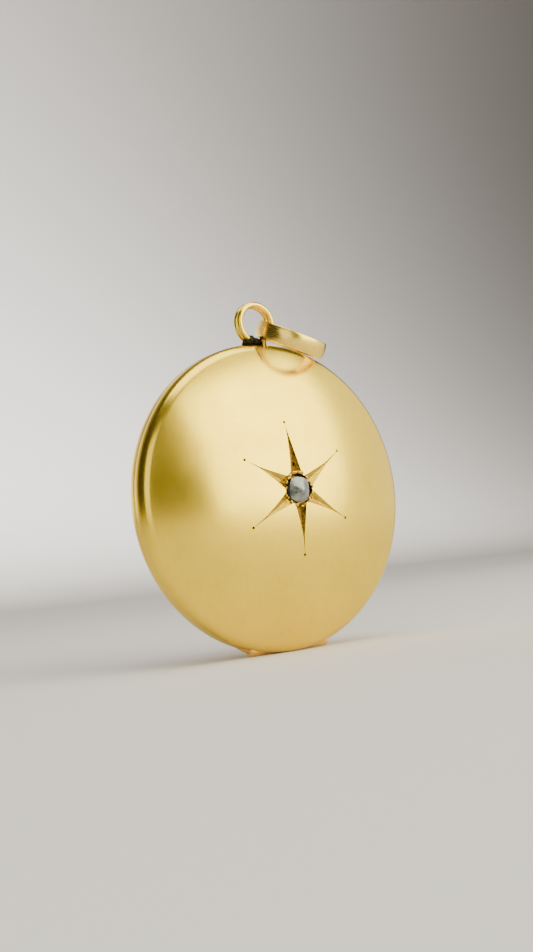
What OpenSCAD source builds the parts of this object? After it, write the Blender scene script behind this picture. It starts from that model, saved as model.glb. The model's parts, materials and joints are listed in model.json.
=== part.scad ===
// Round hinged locket with a domed, star-cut front cover, a fixed double-wire pendant loop
// and a loose flat-band bail. The case opens forward about a five-knuckle hinge at the bottom.
// +X is to the wearer's left, -Y is the front, +Z is up. The origin is the centre of the
// pendant loop's eye, on the plane where the two halves meet.

/* [Case] */
// Diameter of the closed case
case_d = 26; // [24:0.5:30]
// Height of each domed cover above the seam
crown_h = 4.12; // [3.9:0.02:4.4]
// Radius of the rounded shoulder between the rim and the dome
shoulder_r = 1.2; // [1.1:0.05:1.3]
// Height of the straight rim wall of each half
rim_h = 0.3; // [0.25:0.05:0.35]
// Gap between the two halves when the locket is shut
seam_gap = 0.06; // [0.04:0.02:0.1]
// Sheet thickness of the engraved front cover
front_t = 0.75; // [0.7:0.05:0.8]
// Sheet thickness of the plain rear cover
rear_t = 0.5; // [0.4:0.05:0.6]

/* [Star setting] */
// Diameter of the rose-cut stone
stone_d = 2.3; // [2:0.1:2.6]
// Height of the star's centre above the middle of the cover
star_lift = 0.22; // [0:0.02:0.4]
// Turn of the whole star about its centre, in degrees
star_turn = 1.9; // [-5:0.1:5]
// Depth that the rays' valley lines would reach under the stone
star_depth = 0.5; // [0.4:0.02:0.56]
// Included angle of the V-cut rays, in degrees
ray_angle = 120; // [90:5:125]

/* [Pendant loop and bail] */
// Wire thickness of the double loop
loop_wire_d = 0.5; // [0.4:0.05:0.5]
// Mean radius of the double loop
loop_r = 1.6; // [1.6:0.02:1.7]
// Outer diameter of the bail
bail_d = 6.26; // [6.1:0.02:6.3]
// Width of the bail's band
bail_w = 1.4; // [1.1:0.05:1.4]
// Thickness of the bail's band
bail_t = 0.4; // [0.3:0.02:0.4]

/* [Hinge] */
// Length of the five knuckles together
hinge_len = 7.8; // [6:0.1:8]
// Outer diameter of the knuckles
knuckle_d = 1.0; // [0.9:0.02:1.04]
// Diameter of the hinge pin
pin_d = 0.48; // [0.4:0.02:0.5]

/* [Hidden] */

gold = "#c9a354";
pale_gold = "#d8b76a";
glass_tint = [0.85, 0.92, 0.92, 0.35];
card_cream = "#e6dcc3";
stone_grey = "#b9bcba";

case_r = case_d / 2;
half_gap = seam_gap / 2;
loop_y = -0.2;                         // the double loop sits a little forward of the seam
case_drop = case_r + 1.8;              // loop's centre above the case's centre
cut = 1;                               // how far cutters run past what they cut
round_fn = 180;

// The dome is a sphere that meets the shoulder's arc without a step.
arc_r = case_r - shoulder_r;
arc_h = crown_h - shoulder_r;
dome_drop = (arc_r * arc_r + rim_h * rim_h - arc_h * arc_h) / (2 * (arc_h - rim_h));
dome_r = crown_h + dome_drop;

// Inner rings, measured from the seam outwards into each half.
seat_r = 12.2;                         // counterbore that the inner rings are pressed into
seat_h = 0.95;
ledge_h = 0.6;
ledge_r = 10.9;
snap_r = 12.15;                        // snap lip that stands out of the rear half
snap_wall = 0.35;
snap_h = 0.45;
upstand_r = 11.7;                      // inner wall of the front half
upstand_wall = 0.25;
upstand_h = 0.13;
rear_frame_r = 11.75;
front_frame_r = 11.4;
frame_wall = 0.25;
frame_lip = 0.6;
frame_h = 0.1;
frame_lip_t = 0.12;
glass_t = 0.22;
card_h = 0.45;
card_t = 0.14;
slip = 0.03;                           // clearance round glass, card, pin and pictures

// Hinge, on the bottom of the rim. The axis is inside the case, so both rims are bevelled
// below it to let the front half swing down.
knuckle_r = knuckle_d / 2;
hinge_z = -case_r + knuckle_r + 0.05;  // measured from the case's centre
knuckle_gap = 0.04;
knuckle_pitch = hinge_len / 5;
relief_r = knuckle_r + 0.05;
bevel_angle = 56;                      // half of the opening between the bevels

// Star: each ray's valley is an arc round a centre inside the case.
valley_r = 17.8;
ray_lengths = [5.65, 5.65, 5.45, 5.35, 5.35, 5.4];   // cut by hand, so they differ a little
ray_leans = [1.8, 1, -0.5, 0, -0.2, -1.5];
stone_r = stone_d / 2;
cup_r = stone_r + 0.4;
cup_depth = 0.45;
stone_h = 0.75;
girdle_h = 0.5;
grain_r = 0.17;

module in_front_half() {
    translate([0, 0, -case_drop]) rotate([90, 0, 0]) children();
}

module in_rear_half() {
    translate([0, 0, -case_drop]) rotate([-90, 0, 0]) children();
}

module at_hinge() {
    translate([0, 0, hinge_z - case_drop]) rotate([0, 90, 0]) children();
}

// A flat ring about the case's axis, between two heights above the seam.
module ring(outer, inner, low, high) {
    translate([0, 0, low]) difference() {
        cylinder(r = outer, h = high - low, $fn = round_fn);
        translate([0, 0, -cut]) cylinder(r = inner, h = high - low + 2 * cut, $fn = round_fn);
    }
}

// Half of a cover's section: straight rim, shoulder arc and dome, all moved in by the inset.
module half_section(inset) {
    dome_dir = [arc_r, rim_h + dome_drop] / norm([arc_r, rim_h + dome_drop]);
    square([case_r - inset, rim_h]);
    intersection() {
        translate([arc_r, rim_h]) circle(r = shoulder_r - inset, $fn = round_fn);
        square([case_r, crown_h]);
    }
    intersection() {
        translate([0, -dome_drop]) circle(r = dome_r - inset, $fn = 4 * round_fn);
        polygon([[0, 0], [arc_r, 0], [arc_r, rim_h],
                 [arc_r, rim_h] + 2 * shoulder_r * dome_dir, [0, crown_h + cut]]);
    }
}

module half_solid() {
    rotate_extrude($fn = round_fn) half_section(0);
}

// One domed half: hollow, with a counterbore for its inner rings and an open seam.
module shell(thickness) {
    difference() {
        half_solid();
        rotate_extrude($fn = round_fn) intersection() {
            half_section(thickness);
            translate([0, seat_h - 0.1]) square([case_r, crown_h]);
        }
        translate([0, 0, -cut]) cylinder(r = seat_r, h = seat_h + cut, $fn = round_fn);
        translate([0, 0, -cut]) cylinder(r = case_r + cut, h = half_gap + cut, $fn = round_fn);
    }
}

// Room for the other half's knuckles, and for a rim that swings past.
module hinge_relief() {
    at_hinge() cylinder(r = relief_r, h = hinge_len + 2 * knuckle_gap, center = true, $fn = 60);
    reach = 2;
    side = reach * tan(bevel_angle);
    translate([0, 0, hinge_z - case_drop]) rotate([90, 0, 90])
        linear_extrude(height = case_d, center = true)
            polygon([[0, 0], [-side, -reach], [side, -reach]]);
}

// A knuckle tube, counted from the left as 0 to 4. A crescent of solder on its own side,
// the front (-1) or the rear (1), fills the clearance and ties it to its half.
module knuckle(place, bore_r, side) {
    middle = (place - 2) * knuckle_pitch;
    length = knuckle_pitch - knuckle_gap;
    solder = [length, relief_r - 0.2, 0.7];
    color(gold) difference() {
        at_hinge() translate([0, 0, middle]) cylinder(r = knuckle_r, h = length, center = true, $fn = 60);
        at_hinge() cylinder(r = bore_r, h = hinge_len + cut, center = true, $fn = 48);
    }
    color(gold) intersection() {
        at_hinge() translate([0, 0, middle]) difference() {
            cylinder(r = relief_r, h = length, center = true, $fn = 60);
            cylinder(r = (knuckle_r + bore_r) / 2, h = length + cut, center = true, $fn = 60);
        }
        translate([middle, side * (relief_r - solder.y / 2), hinge_z - case_drop + solder.z / 2 - 0.2])
            cube(solder, center = true);
    }
}

// A V-shaped cut whose valley is an arc, from its depth under the stone to its tip on the dome.
module star_ray(length, turn) {
    x = length * cos(turn);
    y = length * sin(turn) + star_lift;
    under_stone = [0, crown_h - star_depth];
    tip = [length, sqrt(dome_r * dome_r - x * x - y * y) - dome_drop];
    chord = tip - under_stone;
    drop = sqrt(valley_r * valley_r - chord * chord / 4);
    middle = (tip + under_stone) / 2 + drop / norm(chord) * [chord.y, -chord.x];
    flare = 1.6;
    half_width = flare * tan(ray_angle / 2);
    rotate([0, 0, turn]) intersection() {
        translate([middle.x, 0, middle.y]) rotate([90, 0, 0])
            rotate_extrude($fn = 2 * round_fn)
                polygon([[valley_r, 0], [valley_r + flare, half_width], [valley_r + flare, -half_width]]);
        translate([0.2, -half_width, crown_h - 1.5]) cube([length + 0.8, 2 * half_width, 2.5]);
    }
}

module front_cover() {
    color(gold) difference() {
        in_front_half() difference() {
            shell(front_t);
            translate([0, star_lift, 0]) {
                for (i = [0:5]) star_ray(ray_lengths[i], 90 + star_turn - 60 * i + ray_leans[i]);
                cylinder(r = stone_r + slip, h = crown_h + cut, $fn = 60);
            }
        }
        hinge_relief();
    }
}

module rear_cover() {
    color(gold) difference() {
        in_rear_half() shell(rear_t);
        hinge_relief();
    }
}

// Pressed into the rear half: a ledge for the frame, a tube, and the snap lip in front.
module rear_bezel() {
    hinge_window = [hinge_len + 0.3, snap_h + ledge_h, 2];
    color(gold) difference() {
        in_rear_half() {
            ring(seat_r, ledge_r, ledge_h, seat_h);
            ring(seat_r, snap_r - snap_wall, half_gap, ledge_h);
            ring(snap_r, snap_r - snap_wall, -snap_h, half_gap);
        }
        translate([-hinge_window.x / 2, -snap_h, -case_r - case_drop])
            cube(hinge_window);
    }
}

// Pressed into the front half: a ledge for the frame and a low wall inside the snap lip.
module front_bezel() {
    color(gold) in_front_half() {
        ring(seat_r, ledge_r, ledge_h, seat_h);
        ring(upstand_r, upstand_r - upstand_wall, upstand_h, ledge_h);
    }
}

// Ring with a lip that holds the glass and the picture down on the ledge.
module picture_frame(outer) {
    ring(outer, outer - frame_lip, frame_h, frame_h + frame_lip_t);
    ring(outer, outer - frame_wall, frame_h + frame_lip_t, ledge_h);
}

module disc(outer, low, thickness) {
    translate([0, 0, low]) cylinder(r = outer, h = thickness, $fn = round_fn);
}

module rear_frame() {
    color(pale_gold) in_rear_half() picture_frame(rear_frame_r);
}

module front_frame() {
    color(pale_gold) in_front_half() picture_frame(front_frame_r);
}

module rear_glass() {
    color(glass_tint) in_rear_half()
        disc(rear_frame_r - frame_wall - slip, frame_h + frame_lip_t, glass_t);
}

module front_glass() {
    color(glass_tint) in_front_half()
        disc(front_frame_r - frame_wall - slip, frame_h + frame_lip_t, glass_t);
}

module rear_picture() {
    color(card_cream) in_rear_half() disc(rear_frame_r - frame_wall - slip, card_h, card_t);
}

module front_picture() {
    color(card_cream) in_front_half() disc(front_frame_r - frame_wall - slip, card_h, card_t);
}

// Closed cup behind the hole in the cover, which holds the foil and the stone.
module setting_cup() {
    inside = dome_r - front_t - dome_drop;
    color(gold) in_front_half() translate([0, star_lift, 0]) difference() {
        translate([0, 0, inside - cup_depth]) cylinder(r = cup_r, h = cup_depth, $fn = 60);
        translate([0, 0, inside - cup_depth + 0.2]) cylinder(r = stone_r + slip, h = cup_depth, $fn = 60);
        translate([0, -star_lift, -dome_drop]) difference() {
            cylinder(r = cup_r + cut, h = 2 * dome_r, $fn = 60);
            sphere(r = dome_r - front_t, $fn = 4 * round_fn);
        }
    }
}

module foil() {
    inside = dome_r - front_t - dome_drop;
    color(pale_gold) in_front_half() translate([0, star_lift, inside - cup_depth + 0.2])
        cylinder(r = stone_r, h = 0.05, $fn = 60);
}

// Rose cut: a flat-backed stone with a straight girdle, six lower facets turned against
// six upper ones, and a pointed top.
module diamond() {
    inside = dome_r - front_t - dome_drop;
    base = inside - cup_depth + 0.25;
    girdle = crown_h + 0.03 - base;
    color(stone_grey) in_front_half() translate([0, star_lift, base]) {
        cylinder(r = stone_r, h = girdle, $fn = 60);
        translate([0, 0, girdle]) hull() {
            cylinder(r = stone_r, h = 0.02, $fn = 12);
            translate([0, 0, girdle_h - 0.05]) cylinder(r = stone_r * 0.62, h = 0.01, $fn = 6);
            translate([0, 0, stone_h - 0.01]) cylinder(r = 0.02, h = 0.01, $fn = 6);
        }
    }
}

// Six beads of metal raised round the stone, one between each pair of rays.
module setting_grains() {
    color(gold) in_front_half() difference() {
        for (i = [0:5]) {
            turn = 60 + star_turn - 60 * i;
            reach = stone_r + grain_r + 0.04;
            x = reach * cos(turn);
            y = reach * sin(turn) + star_lift;
            lift = sqrt(dome_r * dome_r - x * x - y * y) - dome_drop;
            translate([x, y, lift]) sphere(r = grain_r, $fn = 32);
        }
        translate([0, 0, -dome_drop]) sphere(r = dome_r, $fn = 4 * round_fn);
    }
}

// Small nail catch on the front half's shoulder, at the top.
module thumb_piece() {
    tab_w = 0.56;
    tab_t = 0.42;
    tab_x = 0.2;
    tab_y = -1.32;
    tab_top = case_r + 0.3;
    color(gold) difference() {
        translate([tab_x - tab_w / 2, tab_y, -case_drop + case_r - 0.9])
            cube([tab_w, tab_t, tab_top - case_r + 0.9]);
        in_front_half() half_solid();
    }
}

// One wire of the pendant loop, filed flat where it passes over the case's rim.
module loop_wire(y) {
    color(gold) difference() {
        translate([0, y, 0]) rotate([90, 0, 0]) rotate_extrude($fn = 120)
            translate([loop_r, 0]) circle(d = loop_wire_d, $fn = 40);
        translate([0, 0, -case_drop]) rotate([90, 0, 0])
            cylinder(r = case_r + 0.05, h = case_d, center = true, $fn = 2 * round_fn);
    }
}

module loop_wire_front() {
    loop_wire(loop_y - loop_wire_d / 2);
}

module loop_wire_rear() {
    loop_wire(loop_y + loop_wire_d / 2);
}

// Solder foot on the rear half's rim that carries the double loop.
module loop_foot() {
    foot_w = 1.7;
    foot_d = 0.75;
    foot_h = 0.55;
    color(gold) difference() {
        translate([-foot_w / 2, half_gap + 0.02, -case_drop + case_r - 0.3])
            cube([foot_w, foot_d, foot_h + 0.3]);
        in_rear_half() half_solid();
        translate([0, loop_y + loop_wire_d / 2, 0]) rotate([90, 0, 0]) rotate_extrude($fn = 120)
            translate([loop_r, 0]) circle(d = loop_wire_d, $fn = 40);
    }
}

module hinge_knuckle_rear_left() {
    knuckle(0, pin_d / 2, 1);
}

module hinge_knuckle_rear_middle() {
    knuckle(2, pin_d / 2, 1);
}

module hinge_knuckle_rear_right() {
    knuckle(4, pin_d / 2, 1);
}

module hinge_knuckle_front_left() {
    knuckle(1, pin_d / 2 + slip, -1);
}

module hinge_knuckle_front_right() {
    knuckle(3, pin_d / 2 + slip, -1);
}

module hinge_pin() {
    color(pale_gold) at_hinge() cylinder(d = pin_d, h = hinge_len, center = true, $fn = 48);
}

// Flat band with a slightly domed outside, hooked through the loop and lying against the
// front half's shoulder.
module bail() {
    bail_centre = [3, -1.08, -1.5];
    bail_tilt = [21.4, 17.6, 0];
    band_dome = 3.2;
    outer = bail_d / 2;
    color(gold) translate(bail_centre) rotate(bail_tilt) rotate_extrude($fn = 120)
        intersection() {
            translate([outer - bail_t, -bail_w / 2]) square([bail_t, bail_w]);
            translate([outer - band_dome, 0]) circle(r = band_dome, $fn = round_fn);
        }
}

rear_cover();
rear_bezel();
rear_frame();
rear_glass();
rear_picture();
loop_wire_front();
loop_wire_rear();
loop_foot();
hinge_knuckle_rear_left();
hinge_knuckle_rear_middle();
hinge_knuckle_rear_right();
hinge_pin();
front_cover();
front_bezel();
front_frame();
front_glass();
front_picture();
setting_cup();
foil();
diamond();
setting_grains();
hinge_knuckle_front_left();
hinge_knuckle_front_right();
thumb_piece();
bail();
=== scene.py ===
import json
import math
import random

import bpy
from mathutils import Matrix, Vector


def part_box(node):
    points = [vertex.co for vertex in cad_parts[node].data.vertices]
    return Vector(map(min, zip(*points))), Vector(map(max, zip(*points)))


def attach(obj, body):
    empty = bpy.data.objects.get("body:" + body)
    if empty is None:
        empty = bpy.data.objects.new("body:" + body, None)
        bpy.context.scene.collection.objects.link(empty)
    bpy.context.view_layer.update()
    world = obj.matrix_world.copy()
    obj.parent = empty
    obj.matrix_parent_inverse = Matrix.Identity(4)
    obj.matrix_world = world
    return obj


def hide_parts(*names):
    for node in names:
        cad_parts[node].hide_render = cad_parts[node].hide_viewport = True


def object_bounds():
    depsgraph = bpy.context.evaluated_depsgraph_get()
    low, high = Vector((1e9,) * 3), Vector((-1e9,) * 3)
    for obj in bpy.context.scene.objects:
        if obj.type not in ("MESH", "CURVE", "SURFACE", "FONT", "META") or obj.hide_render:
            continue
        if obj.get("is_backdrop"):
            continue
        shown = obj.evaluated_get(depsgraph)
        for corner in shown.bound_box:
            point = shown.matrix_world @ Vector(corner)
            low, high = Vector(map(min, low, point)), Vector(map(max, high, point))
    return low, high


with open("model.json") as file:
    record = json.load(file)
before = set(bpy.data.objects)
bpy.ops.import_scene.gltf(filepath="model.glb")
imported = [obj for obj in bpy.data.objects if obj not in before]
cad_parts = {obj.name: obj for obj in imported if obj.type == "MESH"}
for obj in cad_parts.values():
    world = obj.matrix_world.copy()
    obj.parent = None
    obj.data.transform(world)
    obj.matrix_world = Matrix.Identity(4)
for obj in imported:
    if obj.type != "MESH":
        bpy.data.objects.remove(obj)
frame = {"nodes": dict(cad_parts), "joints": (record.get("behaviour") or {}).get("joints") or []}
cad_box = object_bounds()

# ---------------------------------------------------------------- table and lights
# A plain pale table that curves up behind the locket, which stands on its hinge. One large softbox
# is at the front right, smaller ones are at the left, right and top, and one behind the locket is
# turned to light the backdrop.
MM = 0.001
glass_low, glass_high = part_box("rear_glass")
centre = Vector((0, 0, (glass_low.z + glass_high.z) / 2))

camera_data = bpy.data.cameras.new("camera")
camera_data.lens = 45.38
camera_data.sensor_width = 36
camera_data.clip_start = 0.005
camera = bpy.data.objects.new("camera", camera_data)
camera.location = centre + Vector((-57.69, -83.0, -5.36)) * MM
camera.rotation_euler = [math.radians(turn) for turn in (94.085, 6.101, -34.248)]
bpy.context.scene.collection.objects.link(camera)
bpy.context.scene.camera = camera


def softbox(name, bearing, height, distance, size, power, tint=(1, 1, 1)):
    """An area light that faces the case, at a bearing from straight ahead (right is positive)."""
    lamp = bpy.data.lights.new(name, "AREA")
    lamp.shape = "RECTANGLE"
    lamp.size, lamp.size_y = size[0] * MM, size[1] * MM
    lamp.energy, lamp.color = power, tint
    light = bpy.data.objects.new(name, lamp)
    across, up = math.radians(bearing), math.radians(height)
    outward = Vector((math.sin(across) * math.cos(up), -math.cos(across) * math.cos(up), math.sin(up)))
    light.location = centre + outward * distance * MM
    light.rotation_euler = outward.to_track_quat("Z", "Y").to_euler()
    light.visible_camera = False
    bpy.context.scene.collection.objects.link(light)


softbox("softbox_front_right", 30, 20, 320, (350, 330), 2.1, (1.0, 1.0, 0.75))
softbox("softbox_left", -47, 14, 300, (190, 260), 0.28)
softbox("softbox_right", 82, 12, 300, (240, 280), 0.3)
softbox("softbox_top", 20, 80, 300, (260, 260), 0.9)
softbox("softbox_backdrop", 180, 45, 350, (600, 300), 4.5)
bpy.data.objects["softbox_backdrop"].rotation_euler = (math.radians(80), 0, 0)

world = bpy.data.worlds.new("light_tent")
world.use_nodes = True
bpy.context.scene.world = world
world_nodes = world.node_tree.nodes
tent = world_nodes["Background"]
tent.inputs["Color"].default_value = (0.055, 0.05, 0.05, 1)
backdrop = world_nodes.new("ShaderNodeBackground")
backdrop.inputs["Color"].default_value = (0.78, 0.76, 0.74, 1)
rays = world_nodes.new("ShaderNodeLightPath")
choose = world_nodes.new("ShaderNodeMixShader")
world.node_tree.links.new(rays.outputs["Is Camera Ray"], choose.inputs[0])
world.node_tree.links.new(tent.outputs[0], choose.inputs[1])
world.node_tree.links.new(backdrop.outputs[0], choose.inputs[2])
world.node_tree.links.new(choose.outputs[0], world_nodes["World Output"].inputs["Surface"])

bpy.ops.object.select_all(action="DESELECT")
bpy.ops.mesh.primitive_plane_add(size=2, location=(0, -0.84, cad_box[0].z - 0.02 * MM))
table = bpy.context.object
table.name = "table_sweep"
bpy.ops.object.transform_apply(location=True)
bpy.ops.object.mode_set(mode="EDIT")
bpy.ops.mesh.select_mode(type="EDGE")
bpy.ops.mesh.select_all(action="DESELECT")
bpy.ops.object.mode_set(mode="OBJECT")
for edge in table.data.edges:
    edge.select = all(table.data.vertices[corner].co.y > 0 for corner in edge.vertices)
bpy.ops.object.mode_set(mode="EDIT")
bend = Vector((0, 0.16, cad_box[0].z + 0.5))
for step in range(16):
    bpy.ops.mesh.extrude_region_move()
    bpy.ops.transform.rotate(value=math.radians(-90 / 16), orient_axis="X", center_override=bend)
bpy.ops.mesh.extrude_region_move(TRANSFORM_OT_translate={"value": (0, 0, 1.2)})
bpy.ops.mesh.select_mode(type="VERT")
bpy.ops.object.mode_set(mode="OBJECT")
bpy.ops.object.shade_smooth()
table_paint = bpy.data.materials.new("table_paint")
table_paint.use_nodes = True
table_paint.node_tree.nodes["Principled BSDF"].inputs["Base Color"].default_value = (0.7, 0.66, 0.62, 1)
table_paint.node_tree.nodes["Principled BSDF"].inputs["Roughness"].default_value = 0.7
table.data.materials.append(table_paint)
table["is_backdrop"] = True

# ---------------------------------------------------------------- rear cover
# The plain back of the case, raised from gold sheet and bloomed to a soft satin. Its rim is
# thick enough to be counterbored for the inner ring, and filed away under the hinge.
case_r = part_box("front_cover")[1].x
crown_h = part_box("rear_cover")[1].y
shoulder_r = 1.2 * MM
rim_h = 0.3 * MM
rim_edge = 0.06 * MM
half_gap = 0.03 * MM
seat_r = 12.2 * MM
seat_h = 0.95 * MM


class Wire:
    """One output of a shader node. Sums on it add Math nodes, and add() adds any other node."""

    def __init__(self, tree, output):
        self.tree, self.output = tree, output

    def add(self, kind, settings, sockets, out=0):
        node = self.tree.nodes.new("ShaderNode" + kind)
        for name, value in settings.items():
            if name == "stops":
                ramp = node.color_ramp
                while len(ramp.elements) < len(value):
                    ramp.elements.new(0.5)
                for element, (place, colour) in zip(ramp.elements, value):
                    element.position, element.color = place, colour
            else:
                setattr(node, name, value)
        for key, value in sockets.items():
            if isinstance(value, Wire):
                self.tree.links.new(value.output, node.inputs[key])
            else:
                node.inputs[key].default_value = value
        return Wire(self.tree, node.outputs[out])

    def maths(self, operation, first, second):
        return self.add("Math", {"operation": operation}, {0: first, 1: second})

    def __add__(self, other):
        return self.maths("ADD", self, other)

    def __radd__(self, other):
        return self.maths("ADD", other, self)

    def __sub__(self, other):
        return self.maths("SUBTRACT", self, other)

    def __rsub__(self, other):
        return self.maths("SUBTRACT", other, self)

    def __mul__(self, other):
        return self.maths("MULTIPLY", self, other)

    def __rmul__(self, other):
        return self.maths("MULTIPLY", other, self)

    def noise(self, size, detail=3, rough=0.5, stretch=(1, 1, 1), turn=(0, 0, 0), at=(0, 0, 0)):
        """Noise with blots of about that size in metres, stretched along the turned axes."""
        place = self.add("Mapping", {"vector_type": "TEXTURE"},
                         {"Vector": self, "Location": at, "Rotation": turn, "Scale": stretch})
        return self.add("TexNoise", {}, {"Vector": place, "Scale": 1 / size, "Detail": detail,
                                         "Roughness": rough})

    def mix(self, first, second):
        """A colour between two colours, by this value."""
        return self.add("Mix", {"data_type": "RGBA"}, {0: self, 6: first, 7: second}, out=2)

    def between(self, low, high, to_low, to_high):
        return self.add("MapRange", {}, {"Value": self, "From Min": low, "From Max": high,
                                         "To Min": to_low, "To Max": to_high})


def new_material(name):
    """An empty material with an output node, and its object-space coordinates."""
    material = bpy.data.materials.new(name)
    material.use_nodes = True
    tree = material.node_tree
    tree.nodes.clear()
    tree.nodes.new("ShaderNodeOutputMaterial")
    place = tree.nodes.new("ShaderNodeTexCoord")
    return material, Wire(tree, place.outputs["Object"])


def finish_material(material, place, sockets, height=None, depth=0.0):
    if height is not None:
        sockets["Normal"] = place.add("Bump", {}, {"Height": height, "Distance": depth, "Strength": 1.0})
    shader = place.add("BsdfPrincipled", {}, sockets)
    surface = material.node_tree.nodes["Material Output"].inputs["Surface"]
    material.node_tree.links.new(shader.output, surface)
    return material


def satin_gold(name, pale, deep, roughness, depth=0.12e-6):
    material, place = new_material(name)
    cloud = place.noise(3.2 * MM, 4, 0.55)
    mottle = place.noise(0.5 * MM, 5, 0.6)
    bloom = place.noise(0.09 * MM, 3, 0.5)
    brush = place.noise(0.22 * MM, 3, 0.6, stretch=(1, 1, 9), turn=(0, math.radians(8), 0))
    tone = (cloud.between(0.3, 0.7, 0.0, 0.5) + mottle.between(0.3, 0.7, 0.0, 0.3)
            + brush.between(0.3, 0.7, 0.0, 0.3))
    return finish_material(material, place, {
        "Base Color": tone.mix(pale, deep),
        "Metallic": 1.0,
        "Roughness": cloud.between(0.3, 0.7, roughness - 0.02, roughness + 0.03),
    }, bloom + brush * 0.8, depth)


bloomed_gold = satin_gold("bloomed_gold", (0.98, 0.69, 0.062, 1), (0.84, 0.56, 0.04, 1), 0.24)
# Near-black gold for the walls of hairlines, pick marks, pits, the stone's hole, the thumb groove and the
# loop's seat: painted shade where shade falls in these hollows.
painted_hollow_shade = satin_gold("hollow_gold_painted_shade", (0.14, 0.06, 0.015, 1), (0.03, 0.012, 0.005, 1), 0.5, 6e-6)


def arc(middle, radius, start, end, steps):
    """Points along an arc, from one bearing to another in radians."""
    return [(middle[0] + radius * math.cos(start + (end - start) * i / steps),
             middle[1] + radius * math.sin(start + (end - start) * i / steps)) for i in range(steps + 1)]


to_front = (math.pi / 2, 0, 0)
to_rear = (-math.pi / 2, 0, 0)
to_right = (0, math.pi / 2, 0)


def spun(name, outline, turn, middle=centre, steps=192, closed=True):
    """Draws an outline of (radius, height), spins it round Z, and turns it to its place."""
    bpy.ops.object.select_all(action="DESELECT")
    bpy.ops.mesh.primitive_plane_add(size=MM, location=(0, 0, 0))
    piece = bpy.context.object
    piece.name = name
    bpy.ops.object.mode_set(mode="EDIT")
    bpy.ops.mesh.merge(type="CENTER")
    spots = [Vector((r, 0, h)) for r, h in outline]
    bpy.ops.transform.translate(value=spots[0])
    for before, after in zip(spots, spots[1:]):
        bpy.ops.mesh.extrude_vertices_move(TRANSFORM_OT_translate={"value": after - before})
    if closed:
        bpy.ops.mesh.select_all(action="SELECT")
        bpy.ops.mesh.edge_face_add()
        bpy.ops.mesh.delete(type="ONLY_FACE")
    bpy.ops.mesh.select_all(action="SELECT")
    bpy.ops.mesh.spin(steps=steps, angle=2 * math.pi, center=(0, 0, 0), axis=(0, 0, 1))
    bpy.ops.mesh.select_all(action="SELECT")
    bpy.ops.mesh.remove_doubles(threshold=1e-6)
    bpy.ops.mesh.normals_make_consistent(inside=False)
    bpy.ops.object.mode_set(mode="OBJECT")
    piece.rotation_euler = turn
    piece.location = middle
    return piece


def carve(piece, *cutters):
    """Cuts pieces away from another and removes them. A cut face keeps its cutter's finish."""
    for cutter in cutters:
        bpy.ops.object.select_all(action="DESELECT")
        bpy.context.view_layer.objects.active = piece
        cut = piece.modifiers.new("cut", "BOOLEAN")
        cut.operation = "DIFFERENCE"
        cut.solver = "MANIFOLD"
        cut.material_mode = "TRANSFER"
        cut.object = cutter
        bpy.ops.object.modifier_apply(modifier=cut.name)
        bpy.data.objects.remove(cutter)


def soften(piece, width, segments=3, angle=30):
    """Rounds the sharp edges of a piece over, as polishing does."""
    bpy.ops.object.select_all(action="DESELECT")
    bpy.context.view_layer.objects.active = piece
    edge = piece.modifiers.new("edge", "BEVEL")
    edge.width, edge.segments = width, segments
    edge.limit_method, edge.angle_limit = "ANGLE", math.radians(angle)
    bpy.ops.object.modifier_apply(modifier=edge.name)


def settle(piece, body, slot, *nodes, finish=None, angle=30):
    """Smooths a finished piece, puts its place in its mesh, hangs it on its body and hides the parts it
    stands for.
    """
    bpy.ops.object.select_all(action="DESELECT")
    piece.select_set(True)
    bpy.context.view_layer.objects.active = piece
    bpy.ops.object.transform_apply(location=True, rotation=True, scale=True)
    bpy.ops.object.shade_smooth_by_angle(angle=math.radians(angle))
    if finish:
        piece.data.materials.append(finish)
    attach(piece, body)
    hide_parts(*nodes)


# The dome is a sphere that meets the shoulder's arc without a step.
arc_r, arc_h = case_r - shoulder_r, crown_h - shoulder_r
dome_drop = (arc_r ** 2 + rim_h ** 2 - arc_h ** 2) / (2 * (arc_h - rim_h))
dome_r = crown_h + dome_drop
dome_tilt = math.atan2(rim_h + dome_drop, arc_r)


def cover_outline(thickness):
    inner_dome = dome_r - thickness
    lip_bearing = math.asin((seat_h + dome_drop) / inner_dome)
    outer = arc((0, -dome_drop), dome_r, math.pi / 2, dome_tilt, 64)
    shoulder = arc((arc_r, rim_h), shoulder_r, dome_tilt, 0, 20)
    rim = arc((case_r - rim_edge, half_gap + rim_edge), rim_edge, 0, -math.pi / 2, 4)
    inner = arc((0, -dome_drop), inner_dome, lip_bearing, math.pi / 2, 24)
    return outer + shoulder[1:] + rim + [(seat_r + rim_edge, half_gap), (seat_r, half_gap + rim_edge),
                                         (seat_r, seat_h)] + inner


joints = {joint["name"]: joint for joint in frame["joints"]}
hinge_at = Vector(joints["cover_hinge"]["pos_m"])
pin_low, pin_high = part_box("hinge_pin")
hinge_len = pin_high.x - pin_low.x
relief_r = 0.55 * MM
bevel_angle = math.radians(56)


def hinge_relief():
    """The room filed out of both rims: a round groove for the knuckles and a bevel below it."""
    bpy.ops.object.select_all(action="DESELECT")
    bpy.ops.mesh.primitive_cylinder_add(vertices=48, radius=relief_r, depth=hinge_len + 0.08 * MM,
                                        location=hinge_at, rotation=to_right)
    groove = bpy.context.object
    reach = 1.4 * MM
    bpy.ops.mesh.primitive_cylinder_add(
        vertices=3, radius=reach, depth=2 * case_r, location=hinge_at - Vector((0, 0, reach)),
        rotation=(math.pi / 2, 0, math.pi / 2), scale=(math.tan(bevel_angle) / math.tan(math.pi / 6), 1, 1))
    bevel = bpy.context.object
    for cutter in (groove, bevel):
        cutter.data.materials.append(bloomed_gold)
    return groove, bevel


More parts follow.
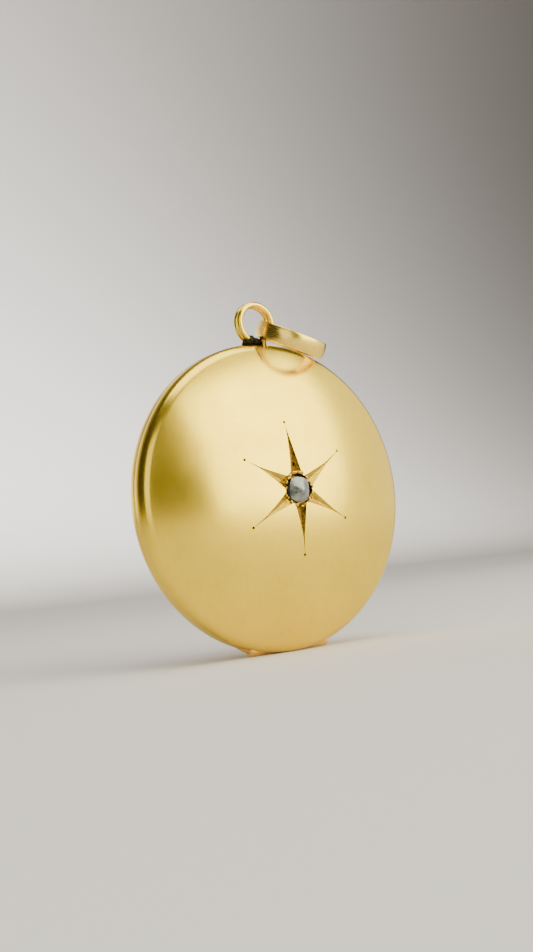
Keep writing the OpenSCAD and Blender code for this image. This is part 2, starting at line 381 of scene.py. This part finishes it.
rear_sheet_t = 0.5 * MM
rear_cover = spun("rear_cover_bloomed", cover_outline(rear_sheet_t), to_rear, closed=False)
rear_cover.data.materials.append(bloomed_gold)
carve(rear_cover, *hinge_relief())
settle(rear_cover, "rear_half", "bloomed_gold", "rear_cover")

# ---------------------------------------------------------------- rear bezel
# Pressed into the rear cover: a ledge for the picture frame and a thin springy wall that stands
# out in front, which the front cover snaps over. It is cut away at the hinge.
inner_gold = satin_gold("inner_gold", (0.95, 0.62, 0.17, 1), (0.9, 0.55, 0.12, 1), 0.16, 0.2e-6)
ledge_r, ledge_h = 10.9 * MM, 0.6 * MM
snap_r, snap_wall = 12.15 * MM, 0.35 * MM
snap_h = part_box("rear_bezel")[0].y
rear_bezel = spun("rear_bezel_snap", [
    (seat_r, seat_h), (ledge_r, seat_h), (ledge_r, ledge_h), (snap_r - snap_wall, ledge_h),
    (snap_r - snap_wall, snap_h), (snap_r, snap_h), (snap_r, half_gap), (seat_r, half_gap)], to_rear)
bpy.ops.mesh.primitive_cube_add(size=1, location=hinge_at, scale=(hinge_len + 0.3 * MM, 1.2 * MM, 3 * MM))
window = bpy.context.object
window.location += Vector((0, snap_h + 0.6 * MM, -0.05 * MM))
window.data.materials.append(inner_gold)
rear_bezel.data.materials.append(inner_gold)
soften(rear_bezel, 0.05 * MM, 2)
carve(rear_bezel, window)
settle(rear_bezel, "rear_half", "inner_gold", "rear_bezel")

# ---------------------------------------------------------------- picture frames
# A thin gold ring presses the glass and the picture card down on the ledge of each half.
frame_lip, frame_wall, lip_t = 0.6 * MM, 0.25 * MM, 0.12 * MM


def glass_finish():
    material, place = new_material("picture_glass")
    return finish_material(material, place, {
        "Base Color": (0.97, 0.98, 0.97, 1),
        "Roughness": place.noise(4 * MM, 2).between(0.3, 0.7, 0.0, 0.03),
        "IOR": 1.5,
        "Transmission Weight": 1.0,
    })


def card_finish():
    material, place = new_material("blank_card")
    fibre = place.noise(0.12 * MM, 5, 0.65)
    age = place.noise(5 * MM, 4, 0.6)
    tone = age.between(0.35, 0.7, 0, 0.8) + fibre * 0.2
    return finish_material(material, place, {
        "Base Color": tone.mix((0.82, 0.75, 0.6, 1), (0.66, 0.55, 0.38, 1)),
        "Roughness": 0.85,
    }, fibre, 8e-6)


glass_clear, card_cream = glass_finish(), card_finish()
for half, facing in (("rear", to_rear), ("front", to_front)):
    body = half + "_half"
    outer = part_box(half + "_frame")[1].x
    near, far = sorted(abs(corner.y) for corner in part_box(half + "_frame"))
    ring = spun(half + "_frame_ring", [
        (outer, near), (outer - frame_lip, near), (outer - frame_lip, near + lip_t),
        (outer - frame_wall, near + lip_t), (outer - frame_wall, far), (outer, far)], facing)
    soften(ring, 0.04 * MM, 3)
    settle(ring, body, "inner_gold", half + "_frame", finish=inner_gold)
    for node, slot, finish, edge in (("_glass", "picture_glass", glass_clear, 0.05 * MM),
                                     ("_picture", "picture_card", card_cream, 0.02 * MM)):
        near, far = sorted(abs(corner.y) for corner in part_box(half + node))
        pane_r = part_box(half + node)[1].x
        pane = spun(half + node + "_disc", [(0, near), (pane_r, near), (pane_r, far), (0, far)], facing,
                    closed=False)
        soften(pane, edge, 2)
        settle(pane, body, slot, half + node, finish=finish)

# ---------------------------------------------------------------- pendant loop
# Two round wires side by side, soldered together and to a foot on the rear rim. The solder lumps in the
# corner between the loop and the case are painted near black: old darkened solder, with painted shade for
# the shaded corner.
wire_low, wire_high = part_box("loop_wire_front")
wire_d = wire_high.y - wire_low.y
loop_r = wire_high.x - wire_d / 2
for node in ("loop_wire_front", "loop_wire_rear"):
    low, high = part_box(node)
    bpy.ops.object.select_all(action="DESELECT")
    bpy.ops.mesh.primitive_torus_add(major_segments=96, minor_segments=28, major_radius=loop_r,
                                     minor_radius=wire_d / 2, rotation=to_front,
                                     location=(0, (low.y + high.y) / 2, 0))
    wire = bpy.context.object
    wire.name = node + "_drawn"
    bpy.ops.mesh.primitive_cylinder_add(vertices=256, radius=case_r + 0.05 * MM, depth=4 * MM,
                                        location=centre, rotation=to_front)
    seat = bpy.context.object
    # The wire's cut face, where it meets the case, is painted near black as painted shade.
    seat.data.materials.append(painted_hollow_shade)
    wire.data.materials.append(bloomed_gold)
    carve(wire, seat)
    settle(wire, "rear_half", "bloomed_gold", node, angle=40)


def nugget(place, size, turn=(0, 0, 0), seed=1, lumps=0.12):
    """A lump of metal that has flowed or been pushed up, never quite the same shape twice."""
    bpy.ops.object.select_all(action="DESELECT")
    bpy.ops.mesh.primitive_ico_sphere_add(subdivisions=2, radius=1, location=place, rotation=turn,
                                          scale=size)
    lump = bpy.context.object
    bpy.ops.object.mode_set(mode="EDIT")
    bpy.ops.mesh.select_all(action="SELECT")
    bpy.ops.transform.vertex_random(offset=lumps * min(size), uniform=0.3, normal=0.6, seed=seed)
    bpy.ops.object.mode_set(mode="OBJECT")
    smooth = lump.modifiers.new("smooth", "SUBSURF")
    smooth.levels = smooth.render_levels = 2
    bpy.ops.object.modifier_apply(modifier=smooth.name)
    return lump


def joined(name, pieces):
    bpy.ops.object.select_all(action="DESELECT")
    for piece in pieces:
        piece.select_set(True)
    bpy.context.view_layer.objects.active = pieces[0]
    bpy.ops.object.join()
    pieces[0].name = name
    return pieces[0]


random.seed(5)
foot_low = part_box("loop_foot")[0]
solder = [nugget(Vector((0, 0.3 * MM, foot_low.z + 0.1 * MM)), (0.85 * MM, 0.4 * MM, 0.4 * MM), seed=3)]
for index in range(34):
    spot = Vector((random.uniform(-1.1, 0.8), random.uniform(-0.8, 0.2), random.uniform(-1.7, -1.34))) * MM
    size = random.uniform(0.16, 0.28) * MM
    solder.append(nugget(spot, (size * 1.3, size, size), seed=20 + index, lumps=0.25))
foot = joined("loop_foot_shaded_solder", solder)
# Near-black finish on the solder: painted shade for the shaded corner under the loop, over old darkened
# solder.
old_solder_painted_shade = satin_gold("old_solder_painted_shade", (0.05, 0.045, 0.02, 1), (0.008, 0.008, 0.006, 1), 0.3, 4e-6)
settle(foot, "rear_half", "bloomed_gold", "loop_foot", finish=old_solder_painted_shade, angle=60)

# ---------------------------------------------------------------- hinge
# Five short tubes soldered by turns to the rear and front rims, with one pin through them. The
# solder runs out along the rear rim in a taper past each end.
hinge_gold = satin_gold("hinge_gold", (0.95, 0.6, 0.15, 1), (0.85, 0.5, 0.09, 1), 0.2, 0.6e-6)
knuckle_edge = 0.05 * MM
for number, place in enumerate(("rear_left", "front_left", "rear_middle", "front_right", "rear_right")):
    node, half = "hinge_knuckle_" + place, place.split("_")[0]
    low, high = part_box(node)
    knuckle_r, length = (high.z - low.z) / 2, high.x - low.x
    bore_r = pin_high.z - hinge_at.z + (0.03 * MM if half == "front" else 0)
    middle = Vector(((low.x + high.x) / 2, 0, hinge_at.z))
    end, flat_r = length / 2, knuckle_r - knuckle_edge
    tube = spun("knuckle_" + place, [
        (bore_r, -end), (flat_r, -end), (knuckle_r, knuckle_edge - end),
        (knuckle_r, end - knuckle_edge), (flat_r, end), (bore_r, end)], to_right, middle, 64)
    side = 1 if half == "rear" else -1
    fillet = nugget(middle + Vector((0, side * 0.42, 0.26)) * MM,
                    (length * 0.48, 0.13 * MM, 0.24 * MM), seed=40 + number, lumps=0.15)
    tube = joined(tube.name, [tube, fillet])
    settle(tube, half + "_half", "hinge_gold", node, finish=hinge_gold, angle=35)

pin_r, pin_end = pin_high.z - hinge_at.z, 0.06 * MM
pin = spun("hinge_pin_wire", [
    (0, -hinge_len / 2), (pin_r - pin_end, -hinge_len / 2), (pin_r, pin_end - hinge_len / 2),
    (pin_r, hinge_len / 2 - pin_end), (pin_r - pin_end, hinge_len / 2), (0, hinge_len / 2)],
    to_right, hinge_at, 48, closed=False)
settle(pin, "rear_half", "hinge_gold", "hinge_pin", finish=hinge_gold)

taper_steps, taper_shrink = 8, 0.82
for side, reach in ((-1, 11), (1, 5)):
    start = math.asin(hinge_len / 2 / case_r)
    spot = centre + Vector((side * math.sin(start), 0, -math.cos(start))) * (case_r - 0.02 * MM)
    spot.y = 0.32 * MM
    bpy.ops.object.select_all(action="DESELECT")
    bpy.ops.mesh.primitive_circle_add(vertices=16, radius=0.3 * MM, fill_type="NGON", location=spot,
                                      rotation=(0, math.pi / 2 + side * start, 0))
    taper = bpy.context.object
    taper.name = "hinge_solder_left" if side < 0 else "hinge_solder_right"
    bpy.ops.object.mode_set(mode="EDIT")
    for step in range(taper_steps):
        bpy.ops.mesh.extrude_region_move()
        bpy.ops.transform.rotate(value=side * math.radians(reach / taper_steps), orient_axis="Y",
                                 center_override=centre)
        bpy.ops.transform.resize(value=(taper_shrink,) * 3, center_override=spot)
    bpy.ops.mesh.select_all(action="SELECT")
    bpy.ops.mesh.normals_make_consistent(inside=False)
    bpy.ops.object.mode_set(mode="OBJECT")
    settle(taper, "rear_half", "hinge_gold", finish=hinge_gold, angle=50)

# ---------------------------------------------------------------- front cover
# The same raised cover, with a six-rayed star cut into it by hand: each ray is one V-shaped
# graver cut, deepest at the stone, that runs out into a hairline with a pick mark at its tip.
star_turn = 1.9
star_lift = 0.22 * MM
ray_lengths = (5.65, 5.65, 5.45, 5.35, 5.35, 5.4)
ray_leans = (1.8, 1.0, -0.5, 0.0, -0.2, -1.5)
cut_shares = (0.94, 0.78, 0.84, 0.8, 0.82, 0.79)
ray_depth, ray_spread = 0.46 * MM, 124
hairline_depth, hairline_spread = 0.12 * MM, 56
tip_mark_r = 0.12 * MM
stone_low, stone_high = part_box("diamond")
stone_r = (stone_high.x - stone_low.x) / 2
star_at = centre + Vector((0, 0, star_lift))


def lit_and_shaded_cut_gold(index):
    """Gold with the graver's lines along one ray and its opposite; the copy for the top and bottom rays is
    painted darker as painted shade.
    """
    material, place = new_material("graver_cut_lit_and_shaded_%d" % index)
    # Index 0 (top and bottom rays) is darker all over: painted shade for their shaded faces. The other
    # copies are the lit ones.
    bright = (0.5, 0.3, 0.03, 1) if index == 0 else (0.72, 0.48, 0.04, 1)
    shadow = (0.08, 0.035, 0.006, 1) if index == 0 else (0.36, 0.2, 0.02, 1)
    along = (0, -math.radians(90 + star_turn - 60 * index), 0)
    lines = place.noise(0.05 * MM, 3, 0.6, stretch=(14, 1, 1), turn=along)
    chatter = place.noise(0.25 * MM, 2, 0.5)
    tone = lines.between(0.35, 0.65, 0, 1)
    return finish_material(material, place, {
        "Base Color": tone.mix(shadow, bright),
        "Metallic": 1.0,
        "Roughness": chatter.between(0.3, 0.7, 0.2, 0.34),
    }, lines + chatter * 0.5, 5e-6)


def ray_cutter(length, turn, depth, valley_r, spread, start):
    """A ring of V section whose inner edge runs just under the dome, out to a ray's length."""
    x, z = length * math.cos(turn), star_lift + length * math.sin(turn)
    under_stone = Vector((0, crown_h - depth))
    tip = Vector((length, math.sqrt(dome_r ** 2 - x * x - z * z) - dome_drop))
    chord = tip - under_stone
    drop = math.sqrt(valley_r ** 2 - chord.length_squared / 4)
    middle = (tip + under_stone) / 2 - chord.orthogonal().normalized() * drop
    wall = 1.2 * MM
    along, out = Vector((math.cos(turn), 0, math.sin(turn))), Vector((0, -1, 0))
    across = out.cross(along)
    bpy.ops.object.select_all(action="DESELECT")
    bpy.ops.mesh.primitive_torus_add(
        major_segments=480, minor_segments=4, major_radius=valley_r + wall, minor_radius=wall,
        location=star_at + along * middle.x + out * middle.y,
        rotation=Matrix((out, along, across)).transposed().to_euler())
    cutter = bpy.context.object
    cutter.scale.z = math.tan(math.radians(spread / 2))
    bpy.context.view_layer.update()
    bpy.ops.object.mode_set(mode="EDIT")
    bpy.ops.mesh.select_all(action="SELECT")
    bpy.ops.mesh.bisect(plane_co=star_at + along * start, plane_no=along, use_fill=True, clear_inner=True)
    bpy.ops.mesh.select_all(action="SELECT")
    bpy.ops.mesh.normals_make_consistent(inside=False)
    bpy.ops.object.mode_set(mode="OBJECT")
    return cutter


def on_dome(x, z, out=0.0):
    """A point of the front dome, from sideways and upward distances from the case's middle."""
    return centre + Vector((x, dome_drop - math.sqrt(dome_r ** 2 - x * x - z * z) - out, z))


front_sheet_t = 0.75 * MM
front_cover = spun("front_cover_star", cover_outline(front_sheet_t), to_front, closed=False)
front_cover.data.materials.append(bloomed_gold)
carve(front_cover, *hinge_relief())
lit_and_shaded_cut_golds = [lit_and_shaded_cut_gold(index) for index in range(3)]
for index in range(6):
    turn = math.radians(90 + star_turn - 60 * index + ray_leans[index])
    length = ray_lengths[index] * MM
    cut = length * cut_shares[index]
    cuts = [ray_cutter(cut, turn, ray_depth, 20 * MM, ray_spread, 0.2 * MM),
            ray_cutter(length, turn, hairline_depth, 60 * MM, hairline_spread, cut - 0.6 * MM)]
    bpy.ops.mesh.primitive_uv_sphere_add(
        segments=12, ring_count=8, radius=tip_mark_r,
        location=on_dome(length * math.cos(turn), star_lift + length * math.sin(turn), 0.01 * MM))
    cuts.append(bpy.context.object)
    # Hairlines and pick marks take the near-black finish as painted shade in their grooves; the main cuts
    # take the lit and shaded gold copies.
    for cutter, finish in zip(cuts, (lit_and_shaded_cut_golds[index % 3], painted_hollow_shade, painted_hollow_shade)):
        cutter.data.materials.append(finish)
    carve(front_cover, *cuts)

# An old slip of the graver left a small pit in the top ray, painted near black as painted shade.
bpy.ops.mesh.primitive_uv_sphere_add(segments=12, ring_count=8, radius=0.13 * MM, scale=(0.8, 1, 1.7),
                                     location=on_dome(-0.13 * MM, star_lift + 2.1 * MM, -0.26 * MM))
pit = bpy.context.object
pit.data.materials.append(painted_hollow_shade)
carve(front_cover, pit)

# The hole for the stone was opened with a scorper and is not quite round.
bpy.ops.object.select_all(action="DESELECT")
bpy.ops.mesh.primitive_cylinder_add(vertices=36, radius=stone_r + 0.17 * MM, depth=4 * MM,
                                    location=on_dome(0, star_lift), rotation=to_front)
hole = bpy.context.object
bpy.ops.object.mode_set(mode="EDIT")
bpy.ops.mesh.select_all(action="SELECT")
bpy.ops.transform.vertex_random(offset=0.08 * MM, uniform=0.0, normal=0.0, seed=7)
bpy.ops.object.mode_set(mode="OBJECT")
# The hole's walls are painted near black: painted shade in the gap round the stone.
hole.data.materials.append(painted_hollow_shade)
carve(front_cover, hole)
settle(front_cover, "front_half", "bloomed_gold", "front_cover", angle=22)

# ---------------------------------------------------------------- front bezel
# Pressed into the front cover: a ledge for the picture frame, and a low wall that sits just
# inside the rear half's snap wall when the case is shut.
upstand_r, upstand_wall = 11.7 * MM, 0.25 * MM
upstand_h = abs(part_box("front_bezel")[1].y)
front_bezel = spun("front_bezel_wall", [
    (seat_r, seat_h), (ledge_r, seat_h), (ledge_r, ledge_h), (upstand_r - upstand_wall, ledge_h),
    (upstand_r - upstand_wall, upstand_h), (upstand_r, upstand_h), (upstand_r, ledge_h), (seat_r, ledge_h)],
    to_front)
soften(front_bezel, 0.05 * MM, 2)
settle(front_bezel, "front_half", "inner_gold", "front_bezel", finish=inner_gold)

# ---------------------------------------------------------------- stone
# An old rose-cut diamond, grey and a little cloudy, with a flat back and a low faceted top. It is
# ground to a square with round corners, and it sits loosely in its hole.
def stone_finish():
    material, place = new_material("old_rose_diamond")
    cloud = place.noise(0.5 * MM, 4, 0.6)
    flecks = place.noise(0.12 * MM, 3, 0.6)
    tone = cloud.between(0.35, 0.65, 0, 1)
    return finish_material(material, place, {
        "Base Color": tone.mix((0.006, 0.007, 0.006, 1), (0.13, 0.145, 0.12, 1)),
        "Roughness": flecks.between(0.3, 0.7, 0.08, 0.2),
        "IOR": 2.2,
    }, flecks, 3e-6)


girdle_t = 0.5 * MM
bpy.ops.object.select_all(action="DESELECT")
bpy.ops.mesh.primitive_cube_add(size=1, scale=(1.66 * stone_r, 1.76 * stone_r, girdle_t))
diamond = bpy.context.object
diamond.name = "rose_cut_diamond"
bpy.ops.object.transform_apply(scale=True)
bpy.ops.object.mode_set(mode="EDIT")
bpy.ops.mesh.select_mode(type="EDGE")
bpy.ops.mesh.select_all(action="SELECT")
bpy.ops.mesh.bevel(offset=0.55 * stone_r, segments=2, affect="EDGES")
bpy.ops.mesh.select_mode(type="VERT")
bpy.ops.mesh.select_all(action="SELECT")
bpy.ops.transform.rotate(value=math.radians(6), orient_axis="Z", center_override=(0, 0, 0))
for sides, reach, height, turn in ((8, 0.72, 0.43, 34), (6, 0.4, 0.64, 12), (3, 0.09, 0.78, 20)):
    bpy.ops.mesh.primitive_circle_add(vertices=sides, radius=stone_r * reach,
                                      location=(0.12 * MM, -0.06 * MM, height * MM),
                                      rotation=(0, 0, math.radians(turn)))
bpy.ops.mesh.select_all(action="SELECT")
bpy.ops.mesh.convex_hull()
bpy.ops.object.mode_set(mode="OBJECT")
diamond.rotation_euler = to_front
diamond.location = Vector((star_at.x, -crown_h + 0.12 * MM + girdle_t / 2, star_at.z))
soften(diamond, 0.015 * MM, 2, 12)
settle(diamond, "front_half", "rose_cut_stone", "diamond", finish=stone_finish(), angle=8)

# ---------------------------------------------------------------- setting grains
# Little nuggets of gold pushed up round the hole with a burnisher, each one different. The
# largest make a broken lip between the stone and the top ray.
def grain(bearing, reach, length, breadth, height, seed):
    turn = math.radians(bearing)
    spot = on_dome(reach * math.cos(turn), star_lift + reach * math.sin(turn), 0.02 * MM)
    return nugget(spot, (breadth * MM, height * MM, length * MM), (0, -turn, 0), seed, 0.2)


random.seed(11)
lip = [grain(80, stone_r + 0.24 * MM, 0.4, 0.17, 0.22, 61),
       grain(103, stone_r + 0.3 * MM, 0.42, 0.18, 0.24, 62),
       grain(124, stone_r + 0.26 * MM, 0.26, 0.16, 0.18, 63)]
for index in range(15):
    size = random.uniform(0.1, 0.18)
    bearing = 135 + index * 19.5 + random.uniform(-5, 5)
    reach = stone_r + random.uniform(0.12, 0.24) * MM
    length = size * random.uniform(0.9, 1.5)
    lip.append(grain(bearing, reach, length, size * 0.8, size * random.uniform(0.6, 0.9), 70 + index))
grains = joined("grain_lip", lip)
rosy_gold = satin_gold("rosy_gold", (0.85, 0.55, 0.05, 1), (0.3, 0.14, 0.02, 1), 0.2, 1.5e-6)
settle(grains, "front_half", "bloomed_gold", "setting_grains", finish=rosy_gold, angle=60)

# The closed cup and the foil behind the stone stay as they are and only take a finish.
for node in ("setting_cup", "foil"):
    frame["nodes"][node].data.materials.clear()
    frame["nodes"][node].data.materials.append(inner_gold)

# ---------------------------------------------------------------- thumb piece
# A small bead soldered to the front half's shoulder beside the loop, to open the case with.
thumb_low, thumb_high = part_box("thumb_piece")
thumb_size = thumb_high - thumb_low
bpy.ops.object.select_all(action="DESELECT")
bpy.ops.mesh.primitive_cube_add(size=1, location=(thumb_low + thumb_high) / 2,
                                scale=(thumb_size.x, thumb_size.y, thumb_size.z))
thumb = bpy.context.object
thumb.name = "thumb_bead"
bpy.ops.object.transform_apply(location=False, rotation=False, scale=True)
soften(thumb, 0.19 * MM, 6)
mark_at = Vector((thumb_low.x + thumb_size.x * 0.5, thumb_low.y, thumb_high.z - 0.2 * MM))
bpy.ops.mesh.primitive_cylinder_add(vertices=24, radius=0.075 * MM, depth=2 * MM, location=mark_at)
groove = bpy.context.object
# The groove is painted near black as painted shade.
groove.data.materials.append(painted_hollow_shade)
thumb.data.materials.append(rosy_gold)
carve(thumb, groove)
settle(thumb, "front_half", "bloomed_gold", "thumb_piece", angle=40)

# ---------------------------------------------------------------- bail
# A flat half-round band bent into a ring, soldered and brushed along its length.
bail_centre = Vector((3.0, -1.08, -1.5)) * MM
bail_tilt = (math.radians(21.4), math.radians(17.6), 0)
bail_r, bail_w, bail_t = 3.13 * MM, 1.4 * MM, 0.4 * MM
band_dome = 2.2 * MM


def brushed_gold():
    material, place = new_material("brushed_band_gold")
    lines = place.noise(0.05 * MM, 4, 0.6, stretch=(14, 14, 1), turn=bail_tilt, at=bail_centre)
    mottle = place.noise(0.5 * MM, 4, 0.6)
    tone = mottle.between(0.35, 0.65, 0, 0.7) + lines * 0.3
    return finish_material(material, place, {
        "Base Color": tone.mix((0.95, 0.69, 0.13, 1), (0.88, 0.6, 0.09, 1)),
        "Metallic": 1.0,
        "Roughness": lines.between(0.3, 0.7, 0.2, 0.32),
    }, lines + mottle * 0.4, 3.5e-6)


half_w = bail_w / 2
band_edge = math.asin(half_w / band_dome)
band = arc((bail_r - band_dome, 0), band_dome, band_edge, -band_edge, 10)
band += [(bail_r - bail_t, -half_w), (bail_r - bail_t, half_w)]
bail = spun("bail_band", band, bail_tilt, bail_centre, 128)
soften(bail, 0.07 * MM, 3, 40)
settle(bail, "bail", "bloomed_gold", "bail", finish=brushed_gold(), angle=40)

low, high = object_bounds()
